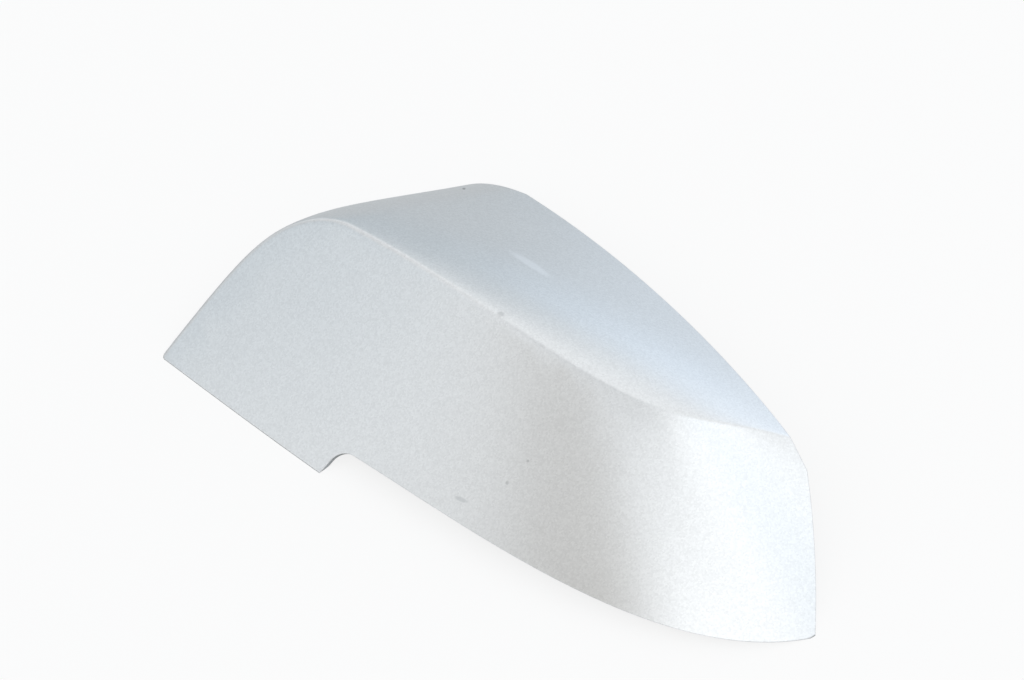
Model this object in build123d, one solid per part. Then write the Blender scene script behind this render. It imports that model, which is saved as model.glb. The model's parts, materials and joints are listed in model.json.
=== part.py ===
from build123d import *
import math
import os

# Cover of a car's wing mirror, moulded in one piece. A leaning front panel that wraps round the outer end
# meets a rolled upper panel in a crease. A wall with a wide round shoulder closes the inner end.
# It lies open side down, as it comes to rest. While it is built, X runs from the inner corner to the outer
# corner, the front panel faces -Y, and Z = 0 is the table.

# Overall sizes, mm
length = 245.2
ridge_height = 46.0
wall = 2.5

# Front panel: control points (x, y) of its level curves on the table and at head_height, and the direction
# in which its inner side stands off
head_height = 50.0
foot_curve = ((-19, -27), (length - 34.2, -68), (length + 16.3, -65.5), (length + 7.8, 70))
head_curve = ((-19, 56.5), (length - 128.7, -4.5), (length - 29.2, 10), (length - 128.7, 100))
panel_crown = 1.2
panel_lean = 38.0
front_inward = (-0.2, 0.45, -0.87)

# Upper panel: control points (y, height over the ridge) of its section, carried along an arched ridge, and
# the direction in which its inner side stands off
roll_curve = ((-30, -7.5), (25.5, 15.4), (29, -9.4), (125, -50.8))
ridge_place = 85.0
inner_drop = 11.0
outer_drop = 35.8
upper_inward = (-0.05, -0.40, -0.9)

# Inner end wall, its shoulder, and the crease that runs on from the ridge down to the inner corner
inner_front_y = -30.0
inner_rear = (35.8, 90.0)
inner_bulge = 1.2
shoulder_radius = 36.0
crease_radius = 3.0

# Rear rim, seen from above, and the short rim of the outer end
outer_corner_y = -13.6
outer_rear = (length - 28.0, 31.2)
rear_middle = (147.6, 67.6)
rear_inner = (72.0, 93.8)
outer_bow = 1.1
outer_run_on = (12.0, -19.3)
rear_corner_radius = 3.0
inner_corner_radius = 5.0

# Lower edge, drawn on a plane that leans with the front panel
straight_edge = 76.3
notch_depth = 10.2
notch_slant = 3.3
notch_radius = 7.0
edge_level = -33.1
edge_lead = (56.0, -3.5)
edge_sag = (length - 33.0, -38.8)
edge_corner = (length + 0.8, -9.3)
panel_stand = 31.0

# Shallow arch in the rim of the inner wall
arch_height = 8.0
arch_front_margin = 17.0
arch_rear_margin = 18.0

# Snap arms: one row behind the rear rim, one behind the lower edge
rear_arms = 3
front_arms = 3
rear_setback = 13.0
front_setback = 19.0
front_share = 0.86
arm_width = 12.0
arm_thickness = 2.2
arm_tip = 4.0
nose_reach = 1.8
nose_height = 4.0

# Locating pegs, each standing on crossed fins
peg_places = ((112.0, -2.0), (length - 57.0, -6.0))
peg_radius = 3.0
peg_length = 10.0
peg_tip = 9.0
peg_chamfer = 0.8
fin_length = 14.0
fin_thickness = 1.5

# Ribs across the underside of the skin
rib_places = (72.0, length - 77.0)
rib_thickness = 1.2
rib_depth = 5.0
rib_margin = 14.0
rib_floor = 8.0

# Room left round the form while it is cut, and how far its crease runs on past the outer corner and under
# the table before the rims are cut
below = -120.0
reach = 150.0
run_on = 8.0
run_under = 6.0


def shared(face, other):
    return [e for e in face.edges() if any(e.is_same(o) for o in other.edges())]


def front_block(inset):
    """Everything behind the front panel, which is lofted through level curves."""
    wires = []
    for z in (-12.0, ridge_height / 2 - 3, ridge_height + 6):
        v = z / head_height
        swell = 4 * panel_crown * v * (1 - v)
        points = []
        for i, (low, high) in enumerate(zip(foot_curve, head_curve)):
            x = low[0] + (high[0] - low[0]) * v
            y = low[1] + (high[1] - low[1]) * v
            points.append((x + (swell if i > 1 else 0), y - (swell if i < 3 else 0), z))
        first, last = points[0], points[-1]
        back = Polyline(last, (last[0], reach, z), (first[0], reach, z), first)
        wires.append(Wire([Bezier(*points)] + back.edges()))
    inward = Vector(*front_inward).normalized() * inset
    return Solid.make_loft(wires).moved(Location(tuple(inward)))


def upper_block(inset):
    """Everything below the upper panel, whose section is lofted along the ridge."""
    wires = []
    for x, drop in ((-24.0, inner_drop), (ridge_place, 0), (length + 21, outer_drop)):
        z = ridge_height - drop
        points = [(x, y, z + h) for y, h in roll_curve]
        first, last = points[0], points[-1]
        slope = (points[1][2] - first[2]) / (points[1][1] - first[1])
        lead = (x, first[1] - 60, first[2] - 60 * slope)
        base = Polyline(last, (x, last[1], below), (x, lead[1], below), lead, first)
        wires.append(Wire([Bezier(*points)] + base.edges()))
    inward = Vector(*upper_inward).normalized() * inset
    return Solid.make_loft(wires).moved(Location(tuple(inward)))


def inner_line():
    """Chord of the inner end wall: its ends, its direction and the direction out of the cover."""
    front = Vector(0, inner_front_y)
    rear = Vector(*inner_rear)
    along = (rear - front).normalized()
    return front, rear, along, Vector(-along.Y, along.X)


def inner_circle():
    """Centre and radius of the inner end wall's gentle bulge, seen from above."""
    front, rear, along, outward = inner_line()
    chord = (rear - front).length
    radius = (chord ** 2 / 4 + inner_bulge ** 2) / (2 * inner_bulge)
    return (front + rear) * 0.5 + outward * (inner_bulge - radius), radius


def inner_tangent():
    """Direction of the inner end wall at its rear corner, towards the front."""
    centre, radius = inner_circle()
    spoke = (Vector(*inner_rear) - centre).normalized()
    return Vector(-spoke.Y, spoke.X)


def inner_block(inset):
    """Everything on the cover's side of the inner end wall."""
    centre, radius = inner_circle()
    return extrude(Pos(centre.X, centre.Y, below - 5) * Circle(radius - inset), 2 * reach)


def form(inset, crease):
    """The cover's form as a full solid, standing off inwards from the painted surface by inset."""
    body = upper_block(inset) & inner_block(inset)
    end = body.faces().filter_by(GeomType.CYLINDER)[0]
    skin = [f for f in body.faces().filter_by(GeomType.BSPLINE) if f.center().Z > ridge_height / 3]
    body = fillet(ShapeList([e for f in skin for e in shared(end, f)]), shoulder_radius - inset)
    room = Pos(length + run_on - 2 * reach, 0, reach / 2 - run_under) * Box(4 * reach, 4 * reach, reach)
    body = (body & front_block(inset) & room).solids()[0]
    if crease > 0:
        panel = body.faces().filter_by(GeomType.BSPLINE).sort_by(SortBy.AREA)[-1]
        others = [f for f in body.faces() if f.geom_type != GeomType.PLANE and not f.is_same(panel)]
        edges = [e for f in others if f.center().Y > 0 for e in shared(panel, f)]
        body = fillet(ShapeList(edges), crease)
    return body


def rear_curves():
    """The short outer rim and the long rear rim, seen from above."""
    corner = Vector(length, outer_corner_y)
    turn = Vector(*outer_rear)
    across = (turn - corner).normalized()
    outer_mid = (corner + turn) * 0.5 + Vector(across.Y, -across.X) * outer_bow
    outer = ThreePointArc(tuple(corner), tuple(outer_mid), tuple(turn))
    rear = ThreePointArc(tuple(turn), rear_middle, rear_inner)
    return outer, rear


def rear_trim():
    """What stays in front of the rear rim and inside the outer rim."""
    outer, rear = rear_curves()
    start, end = outer @ 0, rear @ 1
    low = start + Vector(*outer_run_on)
    corner = Vector(*inner_rear)
    beside = corner + inner_tangent() * reach
    tail = Polyline(end, corner, beside, (beside.X, -reach), (low.X, -reach), low, start)
    outline = make_face([outer, rear] + tail.edges())
    outline = fillet(outline.vertices().sort_by_distance(rear @ 0)[0], rear_corner_radius)
    outline = fillet(outline.vertices().sort_by_distance(corner)[0], inner_corner_radius)
    return extrude(Pos(0, 0, -50) * outline, 200)


def lower_plane():
    """Plane that lies on the front panel's middle."""
    lean = math.radians(panel_lean)
    square = Vector(0, -math.sin(lean), math.cos(lean))
    return Plane(origin=square * panel_stand, x_dir=(1, 0, 0), z_dir=square)


def lower_curve():
    """The long lower edge from the notch to the outer corner, on the leaning plane."""
    notch = Vector(straight_edge + notch_slant, edge_level + notch_depth)
    return Bezier(tuple(notch), tuple(notch + Vector(*edge_lead)), edge_sag, edge_corner)


def lower_cut():
    """What is cut away below the lower edge, square to the front panel."""
    edge = lower_curve()
    notch, corner = edge @ 0, edge @ 1
    step = Vector(straight_edge, edge_level)
    low = step + (step - notch).normalized() * 60
    far = length + 71
    tail = Polyline(corner, (far, 43), (far, -reach), (low.X, -reach), low, notch)
    outline = make_face([edge] + tail.edges())
    outline = fillet(outline.vertices().sort_by_distance(notch)[0], notch_radius)
    return extrude(lower_plane() * outline, reach, both=True)


def arch_cut():
    """The shallow arch that lifts the inner wall's rim off the table between its corners."""
    front, rear, along, outward = inner_line()
    span = (rear - front).length
    plane = Plane(origin=(front.X, front.Y, 0), x_dir=(along.X, along.Y, 0), z_dir=(outward.X, outward.Y, 0))
    left, right = (arch_front_margin, 0), (span - arch_rear_margin, 0)
    arc = ThreePointArc(left, ((left[0] + right[0]) / 2, arch_height), right)
    outline = make_face([arc, Line(right, left)])
    return extrude(plane * outline, 4 * wall, both=True)


def snap_arm(place, outward):
    """Upright arm with a latch nose at its tip, its nose pointing outward."""
    plane = Plane(origin=(place.X, place.Y, 0), x_dir=outward, z_dir=(outward.Y, -outward.X, 0))
    top = ridge_height + 10
    profile = Polyline(
        (0, arm_tip),
        (arm_thickness, arm_tip),
        (arm_thickness + nose_reach, arm_tip + 0.45 * nose_height),
        (arm_thickness + nose_reach, arm_tip + 0.65 * nose_height),
        (arm_thickness, arm_tip + nose_height),
        (arm_thickness, top),
        (0, top),
        (0, arm_tip),
    )
    return extrude(plane * make_face(profile), arm_width / 2, both=True)


def rear_row():
    """Snap arms spread evenly along the rear rim, set in from it."""
    rim = rear_curves()[1]
    arms = []
    for i in range(rear_arms):
        share = (i + 0.5) / rear_arms
        tangent = rim % share
        outward = Vector(tangent.Y, -tangent.X, 0)
        arms.append(snap_arm((rim @ share) - outward * rear_setback, outward))
    return arms


def front_row():
    """Snap arms spread evenly along the deeper part of the lower edge, set in from it."""
    edge = lower_curve()
    arms = []
    for i in range(front_arms):
        point = edge @ (front_share * (i + 0.5) / front_arms)
        root = lower_plane().from_local_coords(Vector(point.X, point.Y + front_setback, 0))
        arms.append(snap_arm(root, Vector(0, -1, 0)))
    return arms


def peg(x, y):
    """Round locating peg with a bevelled tip, standing on crossed fins that run up to the skin."""
    pin = extrude(Circle(peg_radius), peg_length)
    pin = chamfer(pin.edges().sort_by(Axis.Z)[0], peg_chamfer)
    rise = ridge_height + 10 - peg_tip - peg_length
    middle = Pos(0, 0, peg_length + rise / 2)
    fins = middle * Box(fin_length, fin_thickness, rise) + middle * Box(fin_thickness, fin_length, rise)
    return Pos(x, y, peg_tip) * (pin + fins)


def ribs(core, hollow):
    """Thin webs that follow the inside of the skin and stop short of the rims."""
    slabs = [Pos(x, 0, rib_floor + reach / 2) * Box(rib_thickness, 2 * reach, reach) for x in rib_places]
    webs = core & Compound(slabs) & Pos(0, -rib_margin, 0) * rear_trim()
    return webs - Pos(0, rib_margin, 0) * lower_cut() - Pos(0, 0, -rib_depth) * hollow


body = form(0, crease_radius)
trimmed = (body & rear_trim()) - lower_cut()
trimmed = trimmed & Pos(0, 0, reach / 2) * Box(4 * reach, 4 * reach, reach)
trimmed = trimmed.solids().sort_by(SortBy.VOLUME)[-1]
hollow = form(wall, 0)
core = form(wall / 2, 0)
cover = trimmed - hollow - arch_cut()
for piece in rear_row() + front_row() + [peg(x, y) for x, y in peg_places]:
    cover = cover + (piece & core)
cover = cover + ribs(core, hollow)
cover = cover.solids().sort_by(SortBy.VOLUME)[-1]

# The frame's origin is under the middle of the cover, on the table
box = cover.bounding_box()
cover = Pos(-box.center().X, -box.center().Y, -box.min.Z) * cover
cover.label = "mirror_cover"
os.makedirs("parts", exist_ok=True)
export_step(cover, "parts/mirror_cover.step")
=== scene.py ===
"""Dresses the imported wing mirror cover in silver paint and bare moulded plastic, in a soft white studio."""

from __future__ import annotations

import json
import logging
import math
from dataclasses import dataclass
from enum import Enum
from typing import Any

import bmesh
import bpy
from mathutils import Matrix, Vector

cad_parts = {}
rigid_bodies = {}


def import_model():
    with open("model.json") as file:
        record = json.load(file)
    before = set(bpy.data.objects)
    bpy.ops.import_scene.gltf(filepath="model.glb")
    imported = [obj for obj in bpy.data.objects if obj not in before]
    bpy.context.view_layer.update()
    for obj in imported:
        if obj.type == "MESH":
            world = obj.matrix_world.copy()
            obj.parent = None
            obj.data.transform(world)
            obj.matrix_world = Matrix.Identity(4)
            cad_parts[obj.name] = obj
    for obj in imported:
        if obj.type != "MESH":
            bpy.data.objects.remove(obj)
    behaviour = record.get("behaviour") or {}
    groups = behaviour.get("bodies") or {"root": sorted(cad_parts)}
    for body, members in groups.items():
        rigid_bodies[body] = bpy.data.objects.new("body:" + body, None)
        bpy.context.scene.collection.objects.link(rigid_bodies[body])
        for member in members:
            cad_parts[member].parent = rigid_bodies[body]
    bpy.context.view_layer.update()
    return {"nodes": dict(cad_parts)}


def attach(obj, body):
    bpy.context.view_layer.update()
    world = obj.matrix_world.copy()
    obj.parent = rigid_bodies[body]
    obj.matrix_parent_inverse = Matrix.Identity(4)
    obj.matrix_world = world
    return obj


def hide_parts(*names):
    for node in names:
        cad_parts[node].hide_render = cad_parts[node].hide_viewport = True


LOG = logging.getLogger("mirror_cover")

MM = 0.001
BODY = "root"
COVER_NODE = "mirror_cover"
RIM_DISTANCE = "rim_distance"

# Share of the faces at an edge that spray can't reach: a half where the paint ends
PAINT_EDGE = 0.5
PAINT_EDGE_MARGIN = 0.25

Point = tuple[float, float, float]
Span = tuple[float, float]


def linear(hex_colour: str) -> tuple[float, float, float, float]:
    """Turns an sRGB colour into the linear values that the shaders take.

    Args:
        hex_colour: colour as "#RRGGBB".

    Returns:
        Linear red, green and blue, and an alpha of 1.
    """
    parts = [int(hex_colour[i : i + 2], 16) / 255 for i in (1, 3, 5)]
    red, green, blue = (p / 12.92 if p <= 0.04045 else ((p + 0.055) / 1.055) ** 2.4 for p in parts)
    return red, green, blue, 1.0


def heading(azimuth: float, elevation: float) -> Vector:
    """Gives a direction away from the cover.

    Args:
        azimuth: angle round the cover, in degrees, from straight in front towards the outer end.
        elevation: angle above the table, in degrees.

    Returns:
        The direction, of length 1.
    """
    turn, rise = math.radians(azimuth), math.radians(elevation)
    return Vector((math.sin(turn) * math.cos(rise), -math.cos(turn) * math.cos(rise), math.sin(rise)))


def add_node(
    tree: bpy.types.NodeTree, kind: str, inputs: dict[Any, Any] | None = None, **settings: Any
) -> Any:
    """Adds a node, with its settings, its values and its links.

    Args:
        tree: the tree that gets the node.
        kind: Blender's name of the node type.
        inputs: value or source socket for each input, by the input's name or number.
        settings: properties of the node itself.

    Returns:
        The new node.
    """
    node = tree.nodes.new(kind)
    for name, value in settings.items():
        setattr(node, name, value)
    for key, value in (inputs or {}).items():
        if isinstance(value, bpy.types.NodeSocket):
            tree.links.new(value, node.inputs[key])
        else:
            node.inputs[key].default_value = value
    return node


def new_material(name: str) -> tuple[bpy.types.Material, bpy.types.NodeTree]:
    """Makes an empty node material.

    Args:
        name: name of the real material and finish.

    Returns:
        The material and its emptied node tree.
    """
    material = bpy.data.materials.new(name)
    material.use_nodes = True
    material.node_tree.nodes.clear()
    return material, material.node_tree


class MarkKind(Enum):
    """What a mark on the paint is: the tone that it leaves and how strongly it covers."""

    SPECK = ("#7E8284", 0.32)
    CHIP = ("#6A6E70", 0.80)
    # A whitish streak of painted highlight: a reflection painted into the paint's colour, not wear
    PAINTED_HIGHLIGHT = ("#EAECEE", 0.60)
    SCUFF = ("#B0B4B6", 0.50)

    @property
    def tone(self) -> str:
        """Colour of the mark."""
        return self.value[0]

    @property
    def cover(self) -> float:
        """How much of the paint's own colour the mark hides at its middle."""
        return self.value[1]


@dataclass(frozen=True)
class Mark:
    """A small mark on the paint, between two points of the surface.

    Args:
        kind: what the mark is.
        start: one end, in mm, in the cover's frame.
        end: other end, in mm. It is the start again for a round mark.
        width: width of the mark, in mm.
        fade: share of the way in from its rim over which the mark comes up.
    """

    kind: MarkKind
    start: Point
    end: Point
    width: float
    fade: float = 0.6

    def mask(self, tree: bpy.types.NodeTree, position: bpy.types.NodeSocket) -> bpy.types.NodeSocket:
        """Adds the nodes that fade the mark out from its middle.

        Args:
            tree: the paint's node tree.
            position: place on the cover.

        Returns:
            Socket that gives the mark's cover in its middle and 0 outside it.
        """
        start, end = Vector(self.start) * MM, Vector(self.end) * MM
        along = end - start
        turn = along.to_track_quat("X", "Z").to_euler() if along.length > 0 else (0.0, 0.0, 0.0)
        half = self.width * MM / 2
        fit = add_node(
            tree,
            "ShaderNodeMapping",
            {
                "Vector": position,
                "Location": (start + end) / 2,
                "Rotation": turn,
                "Scale": (along.length / 2 + half, half, half),
            },
            vector_type="TEXTURE",
        )
        ball = add_node(
            tree, "ShaderNodeTexGradient", {"Vector": fit.outputs[0]}, gradient_type="SPHERICAL"
        )
        soft = add_node(
            tree,
            "ShaderNodeMapRange",
            {"Value": ball.outputs["Fac"], "From Max": self.fade, "To Max": self.kind.cover},
            interpolation_type="SMOOTHSTEP",
        )
        return soft.outputs[0]


@dataclass(frozen=True)
class SilverPaint:
    """Silver metallic car paint under satin lacquer, sprayed on ABS.

    The aluminium flakes give a fine sparkle and a tone that follows the light across the panels.
    The lacquer adds a soft gloss, and its slight orange peel keeps reflections from being sharp.

    Args:
        tone: mean colour of the flake layer.
        metallic: how far the flake layer acts as metal.
        flake: size of the sparkling grains, in mm. Real flakes are far smaller; they are drawn as
            coarse as they need to show.
        flake_shades: darkest and lightest grain, as shares of the tone.
        cloud: size of the soft clouds that a spray gun leaves, in mm.
        cloud_shades: darkest and lightest cloud, as shares of the tone.
        cloud_detail: how broken up the clouds are.
        roughness: least and greatest roughness of the flake layer, which follow the clouds.
        lacquer: weight of the lacquer's gloss.
        lacquer_roughness: roughness of the lacquer.
        peel: size of the lacquer's orange peel, in mm.
        peel_detail: how broken up the orange peel is.
        peel_depth: depth of the orange peel, in mm.
        peel_strength: share of that depth that shows.
        edge: radius that the paint rounds at an edge, in mm.
        edge_samples: how finely that rounding is worked out.
    """

    tone: str = "#D6D8D9"
    metallic: float = 0.7
    flake: float = 0.55
    flake_shades: Span = (0.92, 1.07)
    cloud: float = 38.0
    cloud_shades: Span = (0.975, 1.025)
    cloud_detail: float = 2.0
    roughness: Span = (0.27, 0.33)
    lacquer: float = 0.25
    lacquer_roughness: float = 0.16
    peel: float = 2.6
    peel_detail: float = 1.0
    peel_depth: float = 0.02
    peel_strength: float = 0.25
    edge: float = 0.4
    edge_samples: int = 6

    def build(self, marks: tuple[Mark, ...]) -> bpy.types.Material:
        """Makes the material.

        Args:
            marks: specks, chips and scuffs on the paint, and a whitish streak of painted highlight.

        Returns:
            The paint.
        """
        material, tree = new_material("silver_metallic_paint")
        place = add_node(tree, "ShaderNodeTexCoord").outputs["Object"]
        flakes = add_node(tree, "ShaderNodeTexVoronoi", {"Vector": place, "Scale": 1 / (self.flake * MM)})
        clouds = add_node(
            tree,
            "ShaderNodeTexNoise",
            {"Vector": place, "Scale": 1 / (self.cloud * MM), "Detail": self.cloud_detail},
        )
        peel = add_node(
            tree,
            "ShaderNodeTexNoise",
            {"Vector": place, "Scale": 1 / (self.peel * MM), "Detail": self.peel_detail},
        )
        darkest, lightest = self.flake_shades
        sparkle = add_node(
            tree,
            "ShaderNodeMapRange",
            {"Value": flakes.outputs["Color"], "To Min": darkest, "To Max": lightest},
        )
        darkest, lightest = self.cloud_shades
        drift = add_node(
            tree,
            "ShaderNodeMapRange",
            {"Value": clouds.outputs["Fac"], "To Min": darkest, "To Max": lightest},
        )
        grain = add_node(
            tree, "ShaderNodeMath", {0: sparkle.outputs[0], 1: drift.outputs[0]}, operation="MULTIPLY"
        )
        colour = add_node(
            tree,
            "ShaderNodeVectorMath",
            {0: linear(self.tone)[:3], "Scale": grain.outputs[0]},
            operation="SCALE",
        ).outputs[0]
        # Each mark is mixed into the paint's colour, the painted highlight streak among them
        for mark in marks:
            colour = add_node(
                tree,
                "ShaderNodeMix",
                {"Factor": mark.mask(tree, place), "A": colour, "B": linear(mark.kind.tone)},
                data_type="RGBA",
            ).outputs["Result"]
        gloss = add_node(
            tree,
            "ShaderNodeMapRange",
            {"Value": clouds.outputs["Fac"], "To Min": self.roughness[0], "To Max": self.roughness[1]},
        )
        rounded = add_node(tree, "ShaderNodeBevel", {"Radius": self.edge * MM}, samples=self.edge_samples)
        bumped = add_node(
            tree,
            "ShaderNodeBump",
            {
                "Strength": self.peel_strength,
                "Distance": self.peel_depth * MM,
                "Height": peel.outputs["Fac"],
                "Normal": rounded.outputs[0],
            },
        )
        shader = add_node(
            tree,
            "ShaderNodeBsdfPrincipled",
            {
                "Base Color": colour,
                "Metallic": self.metallic,
                "Roughness": gloss.outputs[0],
                "Coat Weight": self.lacquer,
                "Coat Roughness": self.lacquer_roughness,
                "Normal": bumped.outputs[0],
            },
        )
        add_node(tree, "ShaderNodeOutputMaterial", {"Surface": shader.outputs[0]})
        return material


@dataclass(frozen=True)
class BareAbs:
    """Dark ABS as it comes from the mould, with silver mist that drifted round the rim.

    The spark-eroded mould leaves an even fine grain, so the inside looks dull. Overspray lightens the
    last millimetres towards the painted edge.

    Args:
        tone: colour of the plastic.
        ior: refractive index of the plastic.
        grain: size of the mould's grain, in mm, drawn as coarse as it needs to show.
        grain_detail: how broken up the grain is.
        grain_shades: darkest and lightest grain, as shares of the tone.
        grain_depth: depth of the grain, in mm.
        grain_strength: share of that depth that shows.
        roughness: least and greatest roughness, which follow the grain.
        mist: colour of the overspray.
        mist_reach: how far the overspray goes in from the rim, in mm.
        mist_spot: size of the overspray's spots, in mm.
        mist_detail: how broken up the spots are.
        mist_density: what is added to the spots at the rim and at the end of the overspray's reach.
        mist_from: density at which a spot starts to show. It is full at 1.
        mist_cover: how much of the plastic a full spot hides.
    """

    tone: str = "#3A3C3F"
    ior: float = 1.54
    grain: float = 0.5
    grain_detail: float = 2.0
    grain_shades: Span = (0.85, 1.15)
    grain_depth: float = 0.03
    grain_strength: float = 0.35
    roughness: Span = (0.48, 0.62)
    mist: str = "#B3B6B8"
    mist_reach: float = 9.0
    mist_spot: float = 0.9
    mist_detail: float = 3.0
    mist_density: Span = (0.62, -0.35)
    mist_from: float = 0.35
    mist_cover: float = 0.9

    def build(self) -> bpy.types.Material:
        """Makes the material.

        Returns:
            The bare plastic.
        """
        material, tree = new_material("bare_moulded_abs")
        place = add_node(tree, "ShaderNodeTexCoord").outputs["Object"]
        rim = add_node(tree, "ShaderNodeAttribute", attribute_name=RIM_DISTANCE).outputs["Fac"]
        grain = add_node(
            tree,
            "ShaderNodeTexNoise",
            {"Vector": place, "Scale": 1 / (self.grain * MM), "Detail": self.grain_detail},
        ).outputs["Fac"]
        spots = add_node(
            tree,
            "ShaderNodeTexNoise",
            {"Vector": place, "Scale": 1 / (self.mist_spot * MM), "Detail": self.mist_detail},
        )
        near = add_node(
            tree,
            "ShaderNodeMapRange",
            {
                "Value": rim,
                "From Max": self.mist_reach * MM,
                "To Min": self.mist_density[0],
                "To Max": self.mist_density[1],
            },
        )
        drift = add_node(
            tree, "ShaderNodeMath", {0: near.outputs[0], 1: spots.outputs["Fac"]}, operation="ADD"
        )
        mist = add_node(
            tree,
            "ShaderNodeMapRange",
            {"Value": drift.outputs[0], "From Min": self.mist_from, "To Max": self.mist_cover},
        )
        shade = add_node(
            tree,
            "ShaderNodeMapRange",
            {"Value": grain, "To Min": self.grain_shades[0], "To Max": self.grain_shades[1]},
        )
        plastic = add_node(
            tree,
            "ShaderNodeVectorMath",
            {0: linear(self.tone)[:3], "Scale": shade.outputs[0]},
            operation="SCALE",
        )
        colour = add_node(
            tree,
            "ShaderNodeMix",
            {"Factor": mist.outputs[0], "A": plastic.outputs[0], "B": linear(self.mist)},
            data_type="RGBA",
        )
        gloss = add_node(
            tree,
            "ShaderNodeMapRange",
            {"Value": grain, "To Min": self.roughness[0], "To Max": self.roughness[1]},
        )
        bumped = add_node(
            tree,
            "ShaderNodeBump",
            {"Strength": self.grain_strength, "Distance": self.grain_depth * MM, "Height": grain},
        )
        shader = add_node(
            tree,
            "ShaderNodeBsdfPrincipled",
            {
                "Base Color": colour.outputs["Result"],
                "Roughness": gloss.outputs[0],
                "IOR": self.ior,
                "Normal": bumped.outputs[0],
            },
        )
        add_node(tree, "ShaderNodeOutputMaterial", {"Surface": shader.outputs[0]})
        return material


@dataclass
class CoverShell:
    """The moulded cover: one shell, painted where spray from above reaches it and round its rims.

    Args:
        paint: finish of the outside.
        plastic: finish of the inside.
        marks: marks on the paint.
        merge_below: points that are closer than this, in mm, become one.
        smooth_below: edges that bend less than this many degrees are shaded as one surface.
        probe_gap: distance from a face at which the spray is tested, in mm.
        probe_reach: how far up something can keep the spray off, in mm.
        rim_width: how far the paint runs round from the outer edge over the rim's cut face, in mm.
    """

    paint: SilverPaint
    plastic: BareAbs
    marks: tuple[Mark, ...]
    merge_below: float = 0.0005
    smooth_below: float = 26.0
    probe_gap: float = 0.05
    probe_reach: float = 300.0
    rim_width: float = 2.2

    def merged_copy(self, node: bpy.types.Object) -> bpy.types.Object:
        """Copies the modelled solid as one closed mesh.

        Args:
            node: the cover's modelled solid.

        Returns:
            The copy, with smooth faces and sharp edges marked.
        """
        mesh = bpy.data.meshes.new("cover_shell")
        form = bmesh.new()
        form.from_mesh(node.data)
        bmesh.ops.remove_doubles(form, verts=form.verts, dist=self.merge_below * MM)
        for face in form.faces:
            face.smooth = True
        for edge in form.edges:
            edge.smooth = edge.calc_face_angle(0.0) < math.radians(self.smooth_below)
        form.to_mesh(mesh)
        form.free()
        shell = bpy.data.objects.new("cover_shell", mesh)
        bpy.context.scene.collection.objects.link(shell)
        return shell

    def spray_tree(self) -> bpy.types.GeometryNodeTree:
        """Builds the tree that paints the outside and the rim, and measures from the outer edge.

        Returns:
            Tree with the inputs Geometry, Probe Gap, Probe Reach, Rim Width, Paint and Plastic.
        """
        tree = bpy.data.node_groups.new("spray_from_above", "GeometryNodeTree")
        for name, kind in (
            ("Geometry", "NodeSocketGeometry"),
            ("Probe Gap", "NodeSocketFloat"),
            ("Probe Reach", "NodeSocketFloat"),
            ("Rim Width", "NodeSocketFloat"),
            ("Paint", "NodeSocketMaterial"),
            ("Plastic", "NodeSocketMaterial"),
        ):
            tree.interface.new_socket(name, in_out="INPUT", socket_type=kind)
        tree.interface.new_socket("Geometry", in_out="OUTPUT", socket_type="NodeSocketGeometry")
        source = add_node(tree, "NodeGroupInput").outputs

        # A face is shaded where something of the cover stands above it
        stand_off = add_node(
            tree,
            "ShaderNodeVectorMath",
            {0: add_node(tree, "GeometryNodeInputNormal").outputs[0], "Scale": source["Probe Gap"]},
            operation="SCALE",
        )
        probe = add_node(
            tree,
            "ShaderNodeVectorMath",
            {0: add_node(tree, "GeometryNodeInputPosition").outputs[0], 1: stand_off.outputs[0]},
        )
        ray = add_node(
            tree,
            "GeometryNodeRaycast",
            {
                "Target Geometry": source["Geometry"],
                "Source Position": probe.outputs[0],
                "Ray Direction": (0.0, 0.0, 1.0),
                "Ray Length": source["Probe Reach"],
            },
        )
        shaded = add_node(
            tree, "GeometryNodeCaptureAttribute", {"Geometry": source["Geometry"]}, domain="FACE"
        )
        shaded.capture_items.new("FLOAT", "Shaded")
        tree.links.new(ray.outputs["Is Hit"], shaded.inputs["Shaded"])
        covered = shaded.outputs["Shaded"]

        # The paint's edge runs between a shaded face and one that isn't
        half_way = add_node(
            tree,
            "FunctionNodeCompare",
            {"A": covered, "B": PAINT_EDGE, "Epsilon": PAINT_EDGE_MARGIN},
            data_type="FLOAT",
            operation="EQUAL",
        )
        paint_edge = add_node(
            tree,
            "GeometryNodeSeparateGeometry",
            {"Geometry": shaded.outputs["Geometry"], "Selection": half_way.outputs[0]},
            domain="EDGE",
        )
        distance = add_node(
            tree,
            "GeometryNodeProximity",
            {"Geometry": paint_edge.outputs["Selection"]},
            target_element="EDGES",
        ).outputs["Distance"]
        measured = add_node(
            tree,
            "GeometryNodeStoreNamedAttribute",
            {"Geometry": shaded.outputs["Geometry"], "Name": RIM_DISTANCE, "Value": distance},
            data_type="FLOAT",
            domain="POINT",
        )

        # Shaded faces stay bare, apart from the rim next to the paint's edge
        painted = add_node(
            tree,
            "GeometryNodeSetMaterial",
            {"Geometry": measured.outputs[0], "Material": source["Paint"]},
        )
        under = add_node(
            tree,
            "FunctionNodeCompare",
            {"A": covered, "B": PAINT_EDGE},
            data_type="FLOAT",
            operation="GREATER_THAN",
        )
        past_rim = add_node(
            tree,
            "FunctionNodeCompare",
            {"A": distance, "B": source["Rim Width"]},
            data_type="FLOAT",
            operation="GREATER_THAN",
        )
        bare = add_node(
            tree, "FunctionNodeBooleanMath", {0: under.outputs[0], 1: past_rim.outputs[0]}, operation="AND"
        )
        dressed = add_node(
            tree,
            "GeometryNodeSetMaterial",
            {"Geometry": painted.outputs[0], "Selection": bare.outputs[0], "Material": source["Plastic"]},
        )
        whole = add_node(tree, "GeometryNodeRealizeInstances", {"Geometry": dressed.outputs[0]})
        add_node(tree, "NodeGroupOutput", {"Geometry": whole.outputs[0]})
        return tree

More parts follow.
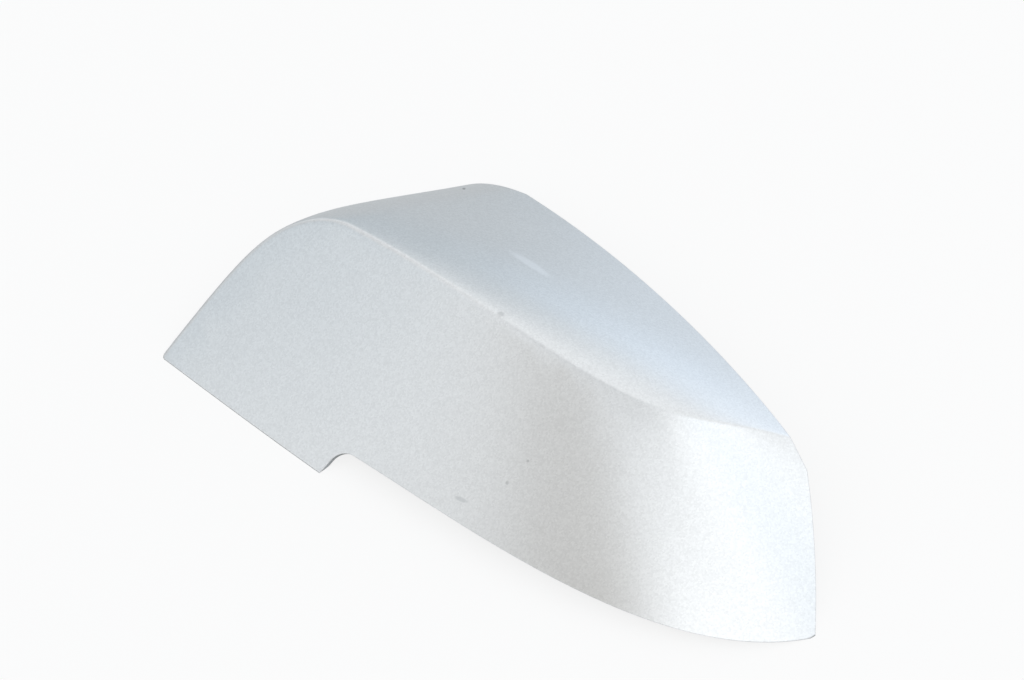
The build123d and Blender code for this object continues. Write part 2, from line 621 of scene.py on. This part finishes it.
    def build(self, node: bpy.types.Object) -> bpy.types.Object:
        """Makes the dressed shell and sets it in the place of the modelled solid.

        Args:
            node: the cover's modelled solid.

        Returns:
            The dressed shell.
        """
        shell = self.merged_copy(node)
        tree = self.spray_tree()
        spray = shell.modifiers.new("spray_from_above", "NODES")
        spray.node_group = tree
        values = {
            "Probe Gap": self.probe_gap * MM,
            "Probe Reach": self.probe_reach * MM,
            "Rim Width": self.rim_width * MM,
            "Paint": self.paint.build(self.marks),
            "Plastic": self.plastic.build(),
        }
        for item in tree.interface.items_tree:
            if item.in_out == "INPUT" and item.name in values:
                spray[item.identifier] = values[item.name]
        bpy.context.view_layer.update()
        depsgraph = bpy.context.evaluated_depsgraph_get()
        dressed = bpy.data.meshes.new_from_object(shell.evaluated_get(depsgraph))
        shell.modifiers.remove(spray)
        shell.data = dressed
        dressed.name = "cover_shell"
        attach(shell, BODY)
        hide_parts(COVER_NODE)
        finishes = [material.name for material in dressed.materials]
        LOG.info("cover shell: %d faces, materials %s", len(dressed.polygons), finishes)
        return shell


@dataclass
class PhotoCamera:
    """Camera at the photograph's angle.

    Args:
        azimuth: angle round the cover, in degrees, from straight in front.
        elevation: angle above the table, in degrees.
        distance: from the aim point, in mm.
        lens: focal length, in mm.
        sensor: width of the sensor, in mm.
        near: nearest distance that it sees, in mm.
        frame: width and height of the picture, in pixels.
        aim: point of the cover that the framing hangs on, in mm.
        aim_pixel: where that point lies in the picture, from its top left.
    """

    azimuth: float = 32.0
    elevation: float = 50.0
    distance: float = 800.0
    lens: float = 85.0
    sensor: float = 36.0
    near: float = 10.0
    frame: tuple[int, int] = (1024, 680)
    aim: Point = (-6.89, -25.58, 12.0)
    aim_pixel: Span = (490.0, 415.0)

    def build(self) -> bpy.types.Object:
        """Makes the camera and gives it to the scene.

        Returns:
            The camera.
        """
        back = heading(self.azimuth, self.elevation)
        right = heading(self.azimuth + 90.0, 0.0)
        up = back.cross(right)
        pixel = self.distance * self.sensor / (self.lens * self.frame[0])
        across = (self.frame[0] / 2 - self.aim_pixel[0]) * pixel
        above = (self.aim_pixel[1] - self.frame[1] / 2) * pixel
        data = bpy.data.cameras.new("photo_camera")
        data.lens = self.lens
        data.sensor_width = self.sensor
        data.sensor_fit = "HORIZONTAL"
        data.clip_start = self.near * MM
        camera = bpy.data.objects.new("photo_camera", data)
        place = (Vector(self.aim) + back * self.distance + right * across + up * above) * MM
        camera.matrix_world = Matrix.Translation(place) @ Matrix((right, up, back)).transposed().to_4x4()
        bpy.context.scene.collection.objects.link(camera)
        bpy.context.scene.camera = camera
        LOG.info("camera: %.0f degrees round, %.0f degrees up", self.azimuth, self.elevation)
        return camera


@dataclass
class SoftBox:
    """A soft box that faces the middle of the table.

    Args:
        name: where the lamp stands.
        azimuth: angle round the cover, in degrees, from straight in front.
        elevation: angle above the table, in degrees.
        distance: from the middle of the table, in mm.
        width: level side, in mm.
        height: other side, in mm.
        power: light that it gives, in watts.
    """

    name: str
    azimuth: float
    elevation: float
    distance: float
    width: float
    height: float
    power: float

    def build(self) -> bpy.types.Object:
        """Makes the lamp.

        Returns:
            The lamp.
        """
        data = bpy.data.lights.new(self.name, "AREA")
        data.shape = "RECTANGLE"
        data.size = self.width * MM
        data.size_y = self.height * MM
        data.energy = self.power
        lamp = bpy.data.objects.new(self.name, data)
        away = heading(self.azimuth, self.elevation)
        turn = away.to_track_quat("Z", "Y").to_matrix().to_4x4()
        lamp.matrix_world = Matrix.Translation(away * self.distance * MM) @ turn
        bpy.context.scene.collection.objects.link(lamp)
        return lamp


@dataclass(frozen=True)
class SkyPatch:
    """A soft round patch of the surroundings that is lighter or darker than the rest.

    Args:
        azimuth: angle of its middle round the cover, in degrees, from straight in front.
        elevation: angle of its middle above the table, in degrees.
        core: angle from its middle, in degrees, at which it starts to fade.
        rim: angle from its middle, in degrees, at which it has faded out.
        change: what it adds to the brightness.
        tone: colour of what it adds or takes away.
    """

    azimuth: float
    elevation: float
    core: float
    rim: float
    change: float
    tone: str = "#FFFFFF"

    def add_to(
        self, tree: bpy.types.NodeTree, direction: bpy.types.NodeSocket, level: bpy.types.NodeSocket
    ) -> bpy.types.NodeSocket:
        """Adds the patch to the light of the surroundings.

        Args:
            tree: the world's node tree.
            direction: direction looked in.
            level: red, green and blue light so far.

        Returns:
            The light with the patch.
        """
        near = add_node(
            tree,
            "ShaderNodeVectorMath",
            {0: direction, 1: heading(self.azimuth, self.elevation)},
            operation="DOT_PRODUCT",
        )
        amount = add_node(
            tree,
            "ShaderNodeMapRange",
            {
                "Value": near.outputs["Value"],
                "From Min": math.cos(math.radians(self.rim)),
                "From Max": math.cos(math.radians(self.core)),
                "To Max": self.change,
            },
            interpolation_type="SMOOTHSTEP",
        )
        added = add_node(
            tree,
            "ShaderNodeVectorMath",
            {0: amount.outputs[0], 1: linear(self.tone)[:3], 2: level},
            operation="MULTIPLY_ADD",
        )
        return added.outputs[0]


@dataclass
class Studio:
    """White table and soft light round the cover.

    Args:
        lamps: soft boxes.
        patches: lighter and darker parts of the surroundings.
        sky: brightness of the surroundings, where 1 is white.
        sky_tone: colour of the surroundings.
        paper: plain white that the camera sees, round the table and mixed into it.
        table_seen: colour of the table as the camera sees it, under that white.
        table_tone: colour of the table as it lights the cover and is mirrored in it.
        table_size: side of the table, in mm.
        backing: share of plain white in what the camera sees of the table.
    """

    lamps: tuple[SoftBox, ...]
    patches: tuple[SkyPatch, ...]
    sky: float = 1.245
    sky_tone: str = "#FAFBFC"
    paper: str = "#FDFDFD"
    table_seen: str = "#E8E9E9"
    table_tone: str = "#C4C6C7"
    table_size: float = 6000.0
    backing: float = 0.85

    def build_table(self) -> bpy.types.Object:
        """Makes the table, which keeps a faint shadow of the cover.

        Returns:
            The table.
        """
        material, tree = new_material("white_table")
        seen = add_node(tree, "ShaderNodeLightPath").outputs["Is Camera Ray"]
        share = add_node(tree, "ShaderNodeMath", {0: seen, 1: self.backing}, operation="MULTIPLY")
        tone = add_node(
            tree,
            "ShaderNodeMix",
            {"Factor": seen, "A": linear(self.table_tone), "B": linear(self.table_seen)},
            data_type="RGBA",
        )
        lit = add_node(tree, "ShaderNodeBsdfDiffuse", {"Color": tone.outputs["Result"]})
        plain = add_node(tree, "ShaderNodeEmission", {"Color": linear(self.paper), "Strength": 1.0})
        both = add_node(
            tree, "ShaderNodeMixShader", {0: share.outputs[0], 1: lit.outputs[0], 2: plain.outputs[0]}
        )
        add_node(tree, "ShaderNodeOutputMaterial", {"Surface": both.outputs[0]})
        half = self.table_size * MM / 2
        corners = [(-half, -half, 0), (half, -half, 0), (half, half, 0), (-half, half, 0)]
        mesh = bpy.data.meshes.new("table")
        mesh.from_pydata(corners, [], [(0, 1, 2, 3)])
        mesh.materials.append(material)
        table = bpy.data.objects.new("table", mesh)
        bpy.context.scene.collection.objects.link(table)
        return table

    def build_sky(self) -> bpy.types.World:
        """Makes the surroundings: white to the camera, and of uneven brightness for the paint to mirror.

        Returns:
            The world.
        """
        world = bpy.data.worlds.new("studio")
        world.use_nodes = True
        tree = world.node_tree
        tree.nodes.clear()
        direction = add_node(tree, "ShaderNodeTexCoord").outputs["Generated"]
        level = add_node(
            tree,
            "ShaderNodeVectorMath",
            {0: linear(self.sky_tone)[:3], "Scale": self.sky},
            operation="SCALE",
        ).outputs[0]
        for patch in self.patches:
            level = patch.add_to(tree, direction, level)
        round_about = add_node(tree, "ShaderNodeBackground", {"Color": level, "Strength": 1.0})
        plain = add_node(tree, "ShaderNodeBackground", {"Color": linear(self.paper), "Strength": 1.0})
        seen = add_node(tree, "ShaderNodeLightPath").outputs["Is Camera Ray"]
        both = add_node(
            tree, "ShaderNodeMixShader", {0: seen, 1: round_about.outputs[0], 2: plain.outputs[0]}
        )
        add_node(tree, "ShaderNodeOutputWorld", {"Surface": both.outputs[0]})
        bpy.context.scene.world = world
        return world

    def build(self) -> None:
        """Makes the table, the surroundings and the lamps."""
        self.build_table()
        self.build_sky()
        for lamp in self.lamps:
            lamp.build()
        LOG.info("studio: %d lamps, %d patches of light and shade", len(self.lamps), len(self.patches))


# Wear on the paint: a chip at the rear rim, specks on the crease and on the front panel, and a scuff above
# the lower edge; and a whitish streak of painted highlight on the upper panel, a reflection painted into the
# paint's colour
MARKS: tuple[Mark, ...] = (
    # Painted highlight: a whitish streak of reflection painted on the upper panel
    Mark(MarkKind.PAINTED_HIGHLIGHT, start=(-30.4, 24.5, 32.1), end=(-12.2, 20.8, 33.2), width=6.0),
    Mark(MarkKind.CHIP, start=(-69.9, 56.5, 12.6), end=(-68.3, 54.1, 14.8), width=1.6),
    Mark(MarkKind.SPECK, start=(-11.9, -10.6, 45.4), end=(-11.9, -10.6, 45.4), width=3.0),
    Mark(MarkKind.SPECK, start=(15.4, -50.5, 18.7), end=(15.4, -50.5, 18.7), width=1.6),
    Mark(MarkKind.SPECK, start=(18.6, -43.0, 24.2), end=(18.6, -43.0, 24.2), width=1.3),
    Mark(MarkKind.SCUFF, start=(1.2, -59.4, 11.2), end=(5.7, -59.3, 11.6), width=1.9),
)

# A long level strip, high beside the outer end, whose reflection runs down the end as a pale band
LAMPS: tuple[SoftBox, ...] = (
    SoftBox(
        "outer_strip_lamp",
        azimuth=78.0,
        elevation=59.0,
        distance=1200.0,
        width=2400.0,
        height=400.0,
        power=2.4,
    ),
)

PATCHES: tuple[SkyPatch, ...] = (
    # In front: the grey band before the front panel turns, and the paler stretch beside it
    SkyPatch(azimuth=-9.0, elevation=47.0, core=3.0, rim=21.0, change=-0.88, tone="#EEF6FF"),
    SkyPatch(azimuth=30.0, elevation=54.0, core=4.0, rim=21.0, change=0.40),
    # Beneath the strip lamp, so that the upper panel keeps its tone from behind
    SkyPatch(azimuth=74.0, elevation=28.0, core=8.0, rim=32.0, change=-0.45),
    # Beside the inner end, where the front panel's inner part looks
    SkyPatch(azimuth=-70.0, elevation=36.0, core=5.0, rim=26.0, change=-0.45, tone="#FFECDC"),
    # Low behind: the grey of the upper panel, and the cool light towards its outer end
    SkyPatch(azimuth=-152.0, elevation=-3.0, core=8.0, rim=44.0, change=-0.70, tone="#FFF4EC"),
    SkyPatch(azimuth=178.0, elevation=0.0, core=5.0, rim=27.0, change=0.80, tone="#C8DCF6"),
    # Overhead and over the inner end: keep the crease soft along the ridge and over the shoulder
    SkyPatch(azimuth=30.0, elevation=83.0, core=6.0, rim=30.0, change=-0.42),
    SkyPatch(azimuth=-108.0, elevation=44.0, core=4.0, rim=28.0, change=-0.34),
    SkyPatch(azimuth=-98.0, elevation=13.0, core=4.0, rim=24.0, change=-0.42),
    # Behind the outer end: cools its lower corner
    SkyPatch(azimuth=118.0, elevation=48.0, core=3.0, rim=18.0, change=-0.36, tone="#FFE2C0"),
)


def main() -> None:
    """Builds the dressed cover and its studio."""
    logging.basicConfig(level=logging.INFO, format="%(name)s: %(message)s")
    scene = bpy.context.scene
    for item in list(scene.objects):
        bpy.data.objects.remove(item)
    scene.view_settings.view_transform = "Standard"
    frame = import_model()
    CoverShell(SilverPaint(), BareAbs(), MARKS).build(frame["nodes"][COVER_NODE])
    Studio(LAMPS, PATCHES).build()
    PhotoCamera().build()


if __name__ == "__main__":
    main()
